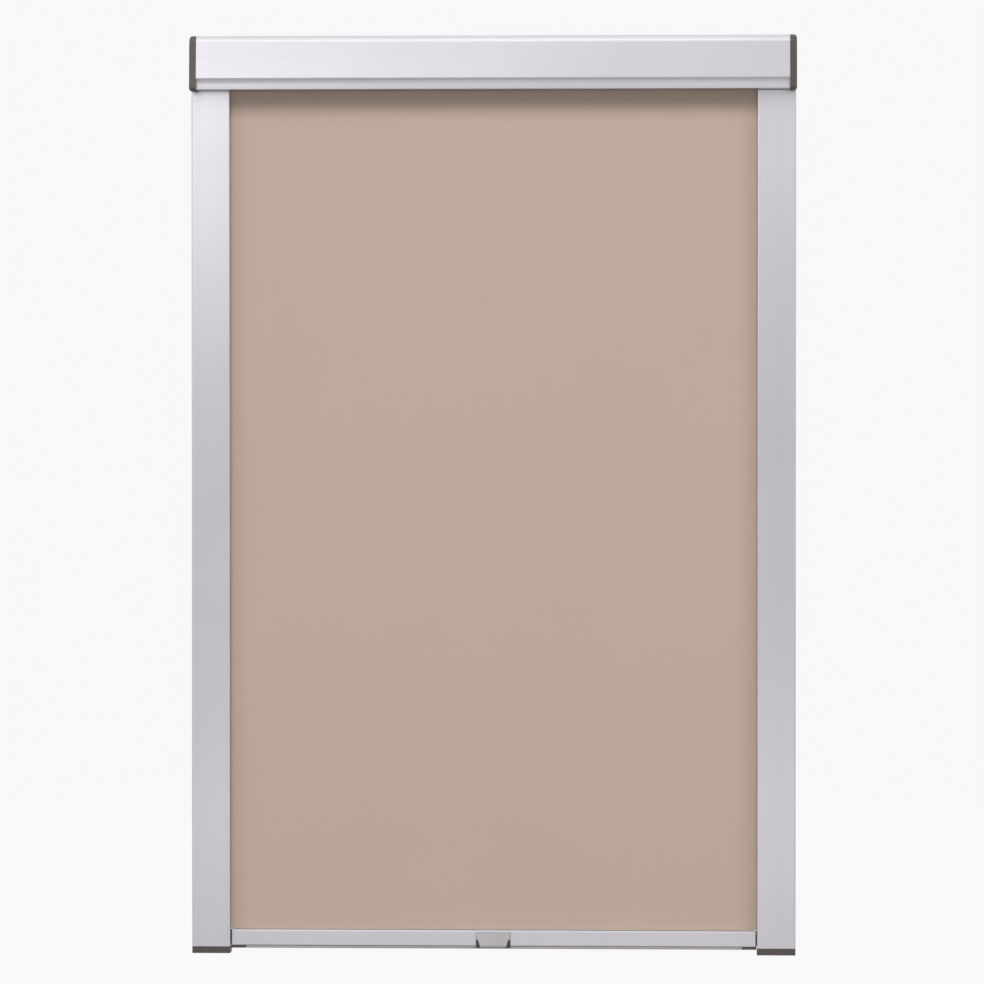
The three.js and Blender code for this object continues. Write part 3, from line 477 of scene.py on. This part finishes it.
def group_with(name, build):
    group = bpy.data.node_groups.new(name, "GeometryNodeTree")
    group.interface.new_socket("Geometry", in_out="INPUT", socket_type="NodeSocketGeometry")
    group.interface.new_socket("Geometry", in_out="OUTPUT", socket_type="NodeSocketGeometry")
    start = group.nodes.new("NodeGroupInput").outputs[0]
    end = group.nodes.new("NodeGroupOutput").inputs[0]
    group.links.new(build(group, start), end)
    return group


def merged_facets(group, geometry):
    merge = group.nodes.new("GeometryNodeMergeByDistance")
    merge.inputs["Distance"].default_value = MERGE_REACH
    clear = group.nodes.new("GeometryNodeSetMeshNormal")
    clear.inputs["Remove Custom"].default_value = True
    group.links.new(geometry, merge.inputs["Geometry"])
    group.links.new(merge.outputs["Geometry"], clear.inputs["Mesh"])
    return clear.outputs["Mesh"]


def smooth_arcs(group, geometry):
    angle = group.nodes.new("GeometryNodeInputMeshEdgeAngle")
    sharp = group.nodes.new("FunctionNodeCompare")
    sharp.operation = "GREATER_THAN"
    sharp.inputs[1].default_value = SHARP_ANGLE
    faces = group.nodes.new("GeometryNodeSetShadeSmooth")
    edges = group.nodes.new("GeometryNodeSetShadeSmooth")
    edges.domain = "EDGE"
    edges.inputs["Shade Smooth"].default_value = False
    group.links.new(angle.outputs["Unsigned Angle"], sharp.inputs[0])
    group.links.new(geometry, faces.inputs["Geometry"])
    group.links.new(faces.outputs["Geometry"], edges.inputs["Geometry"])
    group.links.new(sharp.outputs[0], edges.inputs["Selection"])
    return edges.outputs["Geometry"]


MERGED = group_with("merged_facets", merged_facets)
SMOOTHED = group_with("smooth_arcs", smooth_arcs)


def add_group(obj, name, group):
    modifier = obj.modifiers.new(name, "NODES")
    modifier.node_group = group


def add_bevel(obj, width, segments):
    bevel = obj.modifiers.new("rounded_edges", "BEVEL")
    bevel.width = width
    bevel.segments = segments
    bevel.limit_method = "ANGLE"
    bevel.angle_limit = BEVEL_ANGLE
    return bevel


def round_edges(obj, width):
    add_group(obj, "merged_facets", MERGED)
    flat = obj.modifiers.new("flat_faces", "DECIMATE")
    flat.decimate_type = "DISSOLVE"
    flat.angle_limit = FLAT_ANGLE
    bevel = add_bevel(obj, width, BEVEL_SEGMENTS)
    bevel.miter_outer = "MITER_ARC"
    add_group(obj, "smooth_arcs", SMOOTHED)
    weighted = obj.modifiers.new("even_normals", "WEIGHTED_NORMAL")
    weighted.keep_sharp = True


def both(*names):
    return [f"{side}_{name}" for name in names for side in ("left", "right")]


WHITE_NODES = [
    "tube_keder", "idler_plug", "bearing_bush", "bearing_plug", "spring_drive_plug", "spring_anchor_collar",
    "hem_spline",
]
STEEL_NODES = [*both("front_cap_screw", "rear_cap_screw", "mount_bracket"), "spring_shaft", "idler_pin"]
DRESSING = [
    # nodes, material, width of the rounded edges
    (["cassette_cover", "cassette_back", "bottom_bar", "roller_tube"], ALUMINIUM_X, 0.15 * MM),
    (both("rail_track", "rail_cover"), ALUMINIUM_Z, 0.15 * MM),
    (both("end_cap", "rail_bottom_cap"), CAP_PLASTIC, 0.3 * MM),
    (both("bar_guide", "brake_shoe"), CAP_PLASTIC, 0.2 * MM),
    (WHITE_NODES, WHITE, 0.15 * MM),
    (STEEL_NODES, ZINC, 0.12 * MM),
    (["bar_seal_strip"], SEAL, 0.2 * MM),
]


def dress(names, material, width):
    for name in names:
        obj = nodes[name]
        obj.data.materials.clear()
        obj.data.materials.append(material)
        round_edges(obj, width)


for names, material, width in DRESSING:
    dress(names, material, width)


# New pieces

def make_piece(name, places, faces, materials, body, picks=None, smooth=True):
    mesh = bpy.data.meshes.new(name)
    mesh.from_pydata(places, [], faces)
    for material in materials:
        mesh.materials.append(material)
    for polygon in mesh.polygons:
        polygon.use_smooth = smooth
        if picks:
            polygon.material_index = picks[polygon.index]
    piece = bpy.data.objects.new(name, mesh)
    bpy.context.scene.collection.objects.link(piece)
    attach(piece, body)
    return piece


def fix_winding(piece):
    mesh = bmesh.new()
    mesh.from_mesh(piece.data)
    bmesh.ops.recalc_face_normals(mesh, faces=mesh.faces)
    mesh.to_mesh(piece.data)
    mesh.free()


# Fabric: the panel, the hem round its spline and the turns that stay on the roller

fabric_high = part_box("blackout_fabric")[1]
wraps_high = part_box("fabric_wraps")[1]
bar_low, bar_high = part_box("bottom_bar")
spline_low, spline_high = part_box("hem_spline")
tube_low, tube_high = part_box("roller_tube")
spline_middle = (spline_low + spline_high) / 2
axis_y = (tube_low.y + tube_high.y) / 2
axis_z = (tube_low.z + tube_high.z) / 2
fabric_y = spline_middle.y
panel_foot = bar_high.z + BAR_GAP
roll_radius = fabric_y - axis_y


def left_of(path, index):
    """The unit vector to the left of a path of (y, z) points."""
    ahead = path[min(index + 1, len(path) - 1)]
    back = path[max(index - 1, 0)]
    along = (ahead - back).normalized()
    return Vector((-along.y, along.x))


def shares(count, edge):
    """Even steps from 0 to 1 with a narrow one at each end, so that the rims don't bend the shading far."""
    return [0.0, *(edge + (1 - 2 * edge) * step / count for step in range(count + 1)), 1.0]


def band_places(path, half_width, stations, sway):
    """The points of a band's right side, then those of its left side, row by row."""
    places = []
    for side in (-1, 1):
        for row, point in enumerate(path):
            offset = left_of(path, row) * (side * FABRIC_THICKNESS / 2)
            for across in stations:
                shift = sway(across, row / (len(path) - 1)) if sway else 0
                y, z = point + offset
                places.append((half_width * (2 * across - 1), y + shift, z))
    return places


def band_sides(rows, width):
    """The faces of both sides, in pairs: one on the right side and the one behind it on the left."""
    half = rows * width
    faces = []
    for row in range(rows - 1):
        for column in range(width - 1):
            a = row * width + column
            near = (a, a + 1, a + width + 1, a + width)
            faces.append(near)
            faces.append(tuple(half + index for index in reversed(near)))
    return faces


def band_rims(rows, width):
    """The narrow faces that close a band along its two long edges and at its two ends."""
    half = rows * width
    faces = []
    for row in range(rows - 1):
        for edge, order in ((row * width, 1), ((row + 1) * width - 1, -1)):
            rim = (edge, edge + width, half + edge + width, half + edge)
            faces.append(rim[::order])
    for column in range(width - 1):
        for edge, order in ((column, -1), (half - width + column, 1)):
            rim = (edge, edge + 1, half + edge + 1, half + edge)
            faces.append(rim[::order])
    return faces


def cloth_band(name, path, half_width, columns, body, sway=None):
    """A closed band of fabric along a path of (y, z) points, with its woven face on the path's right."""
    stations = shares(columns, CLOTH_EDGE / (2 * half_width))
    places = band_places(path, half_width, stations, sway)
    sides = band_sides(len(path), len(stations))
    rims = band_rims(len(path), len(stations))
    picks = [0, 1] * (len(sides) // 2) + [1] * len(rims)
    return make_piece(name, places, sides + rims, [WOVEN, COATED], body, picks)


def panel_sway(across, down):
    """A shallow wave that dies out at the panel's edges."""
    fade = math.sin(math.pi * across) * math.sin(math.pi * down)
    return FABRIC_WAVE * fade * math.sin(2 * math.pi * (WAVES_ACROSS * across + WAVES_DOWN * down))


def make_panel():
    """The flat part between the roller and the bar."""
    height = axis_z - panel_foot
    levels = shares(PANEL_ROWS, CLOTH_EDGE / height)
    path = [Vector((fabric_y, axis_z - height * level)) for level in levels]
    panel = cloth_band("fabric_panel", path, fabric_high.x, PANEL_COLUMNS, "casing", panel_sway)
    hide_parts("blackout_fabric")
    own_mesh(panel)


def hem_path():
    """Down through the bar's slot, round the spline and back to itself."""
    centre = Vector((spline_middle.y, spline_middle.z))
    path = [Vector((fabric_y, panel_foot - HEM_GAP)), Vector((fabric_y, centre.y + HEM_ENTRY_RISE))]
    for step in range(HEM_STEPS + 1):
        turned = (2 * math.pi - HEM_MOUTH_SHARE * HEM_MOUTH) * step / HEM_STEPS
        angle = math.pi / 2 + HEM_MOUTH + turned
        path.append(centre + HEM_RADIUS * Vector((math.cos(angle), math.sin(angle))))
    path.append(Vector((fabric_y + HEM_OVERLAP, centre.y + HEM_TAIL_RISE)))
    return path


def make_hem():
    """The fabric's narrow tail, which holds the bar by its spline."""
    path = hem_path()
    hem = cloth_band("fabric_hem", path, spline_high.x, HEM_COLUMNS, "bar")


def make_wound_fabric():
    """The fabric that stays on the roller, wound inward from the line where the panel leaves it."""
    steps = round(ROLL_TURNS * ROLL_STEPS_PER_TURN)
    path = []
    for step in range(steps + 1):
        turns = ROLL_TURNS * (1 - step / steps)
        radius = roll_radius - ROLL_PITCH * turns
        angle = 2 * math.pi * turns
        path.append(Vector((axis_y + radius * math.cos(angle), axis_z + radius * math.sin(angle))))
    wound = cloth_band("wound_fabric", path, wraps_high.x, ROLL_COLUMNS, "roller")
    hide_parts("fabric_wraps")


make_panel()
make_hem()
make_wound_fabric()


# Springs

def coil_places(radius, wire, turns, start, end, axis):
    """Rings of points round a wire that winds about a line along X, with tight turns at its ends."""
    steps = turns * SPRING_STEPS_PER_TURN
    tight = TIGHT_TURNS * SPRING_STEPS_PER_TURN
    tight_rate = 2 * wire / SPRING_STEPS_PER_TURN
    open_rate = (end - start - 2 * tight * tight_rate) / (steps - 2 * tight)
    places = []
    x = start
    for step in range(steps + 1):
        angle = 2 * math.pi * step / SPRING_STEPS_PER_TURN
        outward = Vector((0, math.cos(angle), math.sin(angle)))
        middle = Vector((x, *axis)) + outward * radius
        for side in range(SPRING_SIDES):
            turn = 2 * math.pi * side / SPRING_SIDES
            places.append(middle + wire * (math.cos(turn) * outward + math.sin(turn) * ALONG_X))
        x += tight_rate if step < tight or step >= steps - tight else open_rate
    return places


def coil_faces(rings):
    """The faces between neighbouring rings, and one at each end of the wire."""
    faces = []
    for ring in range(rings - 1):
        for side in range(SPRING_SIDES):
            a = ring * SPRING_SIDES + side
            b = ring * SPRING_SIDES + (side + 1) % SPRING_SIDES
            faces.append((a, b, b + SPRING_SIDES, a + SPRING_SIDES))
    first = tuple(range(SPRING_SIDES))
    last = tuple((rings - 1) * SPRING_SIDES + side for side in first)
    return [*faces, first[::-1], last]


def make_coil(name, node, wire, turns, axis, body):
    """A wound wire in place of a spring's node, about the line along X at this (y, z)."""
    low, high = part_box(node)
    radius = (high.y - low.y) / 2 - wire
    places = coil_places(radius, wire, turns, low.x + wire, high.x - wire, axis)
    faces = coil_faces(turns * SPRING_STEPS_PER_TURN + 1)
    coil = make_piece(name, places, faces, [ZINC], body)
    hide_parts(node)
    return coil


def make_brake_coil(side):
    """A brake's spring, wound about the middle of its node."""
    node = f"{side}_brake_spring"
    low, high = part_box(node)
    middle = (low + high) / 2
    axis = (middle.y, middle.z)
    coil = make_coil(f"{side}_brake_coil", node, BRAKE_WIRE_RADIUS, BRAKE_TURNS, axis, "bar")
    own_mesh(coil)


make_coil("torsion_coil", "torsion_spring", TORSION_WIRE_RADIUS, TORSION_TURNS, (axis_y, axis_z), "casing")
make_brake_coil("left")
make_brake_coil("right")


# Pile strips. U runs along a strip and V across it.

def tuft_corners(middle, half, foot, tip, rng):
    """A tuft's eight (u, v, y) corners, four at its foot and then four at its tip."""
    u, v = middle
    half_u, half_v = half
    corners = [(u + i * half_u, v + j * half_v, foot) for i, j in CORNERS]
    for i, j in CORNERS:
        slip_u = rng.uniform(-TUFT_SLIP_ALONG, TUFT_SLIP_ALONG) * half_u
        slip_v = rng.uniform(-TUFT_SLIP_ACROSS, TUFT_SLIP_ACROSS) * half_v
        tip_u = u + (i * TUFT_TIP_SHARE) * half_u + slip_u
        tip_v = v + (j * TUFT_TIP_SHARE) * half_v + slip_v
        corners.append((tip_u, tip_v, tip))
    return corners


def pile_tufts(u_ends, v_ends, foot, inner, tip):
    """The corners of each tuft, in even rows along the strip."""
    rng = random.Random(TUFT_SEED)
    length = u_ends[1] - u_ends[0]
    width = v_ends[1] - v_ends[0]
    count = round(length / TUFT_PITCH)
    rows = max(TUFT_FEWEST_ROWS, round(width / TUFT_PITCH))
    half = (length / count / 2, width / rows / 2)
    tufts = []
    for index in range(count):
        for row in range(rows):
            middle = (u_ends[0] + (2 * index + 1) * half[0], v_ends[0] + (2 * row + 1) * half[1])
            reach = inner + (tip - inner) * rng.uniform(*TUFT_REACH)
            tufts.append(tuft_corners(middle, half, foot, reach, rng))
    return tufts


def make_pile(node, along, points_back):
    """A strip of tufts on a flat backing. The tufts point to the fabric, at the front or at the back."""
    low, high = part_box(node)
    across = "z" if along == "x" else "x"
    root, tip = (low.y, high.y) if points_back else (high.y, low.y)
    lean = 1 if points_back else -1
    inner = root + lean * TUFT_BACKING
    u_ends = (getattr(low, along), getattr(high, along))
    v_ends = (getattr(low, across), getattr(high, across))
    corners = [(u, v, y) for y in (root, inner) for u in u_ends for v in v_ends]
    faces = list(BACKING_FACES)
    tuft_ends = (v_ends[0] + TUFT_MARGIN, v_ends[1] - TUFT_MARGIN)
    for tuft in pile_tufts(u_ends, tuft_ends, inner - lean * TUFT_SINK, inner, tip):
        faces += [tuple(len(corners) + index for index in face) for face in TUFT_FACES]
        corners += tuft
    places = [(u, y, v) if along == "x" else (v, y, u) for u, v, y in corners]
    piece = make_piece(f"{node}_pile", places, faces, [BRUSH], "casing", smooth=False)
    fix_winding(piece)
    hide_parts(node)


make_pile("slot_seal_front", "x", True)
make_pile("slot_seal_rear", "x", False)
for side in ("left", "right"):
    make_pile(f"{side}_front_fleece", "z", True)
    make_pile(f"{side}_rear_fleece", "z", False)


# Finger grip

def grip_face(share, height, proud):
    """How far the face stands out, from its top at 0 down to its turned edge at 1."""
    dish = GRIP_TOP_PROUD + (proud - GRIP_TOP_PROUD) * share ** GRIP_DISH_POWER
    turned = max(0.0, 1 - (1 - share) * height / GRIP_TURN_HEIGHT)
    return dish - GRIP_TURN_BACK * turned ** GRIP_TURN_POWER


def grip_section(top, foot, proud, half):
    """The grip's side view as (depth, z, half width) corners: down the face and up inside the hollow."""
    def corner(share, depth):
        return depth, top + (foot - top) * share, half + (GRIP_FOOT_HALF - half) * share

    downward = [row / GRIP_ROWS for row in range(GRIP_ROWS + 1)]
    faces = {share: grip_face(share, top - foot, proud) for share in downward}
    outside = [corner(share, faces[share]) for share in downward]
    least = GRIP_BASE + GRIP_HOLLOW_LEAST
    inside = [corner(share, max(faces[share] - GRIP_PLATE, least))
              for share in reversed(downward) if share >= GRIP_HOLLOW_TOP_SHARE]
    base = [(GRIP_BASE, inside[-1][1], half), (GRIP_BASE, foot, half), (0.0, foot, half)]
    return [(0.0, top, half), *outside, *inside, *base]


def make_grip():
    """A pull tab: a plate that flares forward from a base on the bar, hollow behind its lower half. Its
    base is dark plastic: painted shade in the hollow behind the plate.
    """
    low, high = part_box("finger_grip")
    back = bar_low.y - GRIP_SEAT
    section = grip_section(high.z, low.z, back - low.y, high.x)
    count = len(section)
    places = [(side * width, back - depth, z) for side in (-1, 1) for depth, z, width in section]
    caps = tessellate_polygon([[Vector((depth, z, 0)) for depth, z, _ in section]])
    faces = [tuple(cap) for cap in caps] + [tuple(count + i for i in reversed(cap)) for cap in caps]
    # Faces no deeper than the base plate get the dark cap plastic, which paints the shade in the hollow
    # between the plate and the bar.
    picks = [0] * len(faces)
    for i in range(count):
        j = (i + 1) % count
        faces.append((i, j, count + j, count + i))
        picks.append(1 if max(section[i][0], section[j][0]) <= GRIP_BASE else 0)
    grip = make_piece("finger_grip_tab", places, faces, [GRIP, CAP_PLASTIC], "bar", picks)
    fix_winding(grip)
    add_bevel(grip, GRIP_EDGE, GRIP_EDGE_SEGMENTS)
    add_group(grip, "smooth_arcs", SMOOTHED)
    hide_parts("finger_grip")


make_grip()


# Stage, light and camera

def seen_directly(graph):
    """1 for rays from the camera and for mirrored and transmitted ones, and 0 for all others."""
    path = graph.add("ShaderNodeLightPath").outputs
    seen = graph.math("MAXIMUM", path["Is Camera Ray"], path["Is Glossy Ray"])
    return graph.math("MAXIMUM", seen, path["Is Transmission Ray"])


def floor_material():
    """Pale, in the background's own colour where it is far from the blind, and clear from below."""
    graph = material_graph("pale_floor")
    away = graph.add("ShaderNodeVectorMath", {0: graph.place()}, operation="LENGTH").outputs["Value"]
    far = graph.spread(away, (FLOOR_SHADOW_REACH, FLOOR_CLEAR_REACH), UNIT)
    glow = graph.spread(far, UNIT, (FLOOR_GLOW_SHARE, 1.0))
    share = graph.math("MULTIPLY", seen_directly(graph), glow)
    white = graph.add("ShaderNodeEmission", {"Color": graph.mix(far, FLOOR_GLOW, BACKGROUND)}).outputs[0]
    paint = graph.add("ShaderNodeBsdfDiffuse", {"Color": FLOOR_PAINT}).outputs[0]
    above = graph.add("ShaderNodeMixShader", {0: share, 1: paint, 2: white}).outputs[0]
    below = graph.add("ShaderNodeNewGeometry").outputs["Backfacing"]
    clear = graph.add("ShaderNodeBsdfTransparent").outputs[0]
    surface = graph.add("ShaderNodeMixShader", {0: below, 1: above, 2: clear}).outputs[0]
    graph.add("ShaderNodeOutputMaterial", {"Surface": surface})
    return graph.owner


def make_floor():
    mesh = bpy.data.meshes.new("floor")
    mesh.from_pydata([(x * FLOOR_HALF, y * FLOOR_HALF, 0) for x, y in CORNERS], [], [(0, 1, 2, 3)])
    mesh.materials.append(floor_material())
    floor = bpy.data.objects.new("floor", mesh)
    floor.location.z = cad_box[0].z - FLOOR_GAP
    bpy.context.scene.collection.objects.link(floor)


def make_world():
    graph = Graph(bpy.data.worlds.new("studio"))
    ambient = graph.add("ShaderNodeBackground", {"Color": AMBIENT, "Strength": AMBIENT_STRENGTH}).outputs[0]
    backdrop = graph.add("ShaderNodeBackground", {"Color": BACKGROUND}).outputs[0]
    mixed = graph.add("ShaderNodeMixShader", {0: seen_directly(graph), 1: ambient, 2: backdrop}).outputs[0]
    graph.add("ShaderNodeOutputWorld", {"Surface": mixed})
    bpy.context.scene.world = graph.owner


def make_lamp(name, place, aim, width, height, radiance, matt, glossy):
    """A soft box that faces the blind. One that doesn't light matt surfaces is a reflection card."""
    light = bpy.data.lights.new(name, "AREA")
    light.shape = "RECTANGLE"
    light.size = width
    light.size_y = height
    light.energy = radiance * math.pi * width * height
    lamp = bpy.data.objects.new(name, light)
    lamp.location = place
    lamp.rotation_mode = "QUATERNION"
    lamp.rotation_quaternion = (Vector(aim) - Vector(place)).to_track_quat("-Z", "Y")
    lamp.visible_camera = False
    lamp.visible_diffuse = matt
    lamp.visible_glossy = glossy
    bpy.context.scene.collection.objects.link(lamp)


def make_camera():
    data = bpy.data.cameras.new("photo_camera")
    data.sensor_width = SENSOR_WIDTH
    data.lens = FOCAL_PX / IMAGE_SIDE_PX * SENSOR_WIDTH
    data.clip_end = CAMERA_REACH
    camera = bpy.data.objects.new("photo_camera", data)
    upright = Matrix.Rotation(math.radians(90), 4, "X")
    turn = Matrix.Rotation(CAMERA_TURN, 4, "Z") @ Matrix.Rotation(CAMERA_TILT, 4, "X")
    camera.matrix_world = Matrix.Translation(CAMERA_PLACE) @ turn @ upright
    bpy.context.scene.collection.objects.link(camera)
    bpy.context.scene.camera = camera


make_camera()
make_floor()
make_world()
for lamp in LAMPS:
    make_lamp(*lamp)
bpy.context.scene.view_settings.view_transform = "Standard"
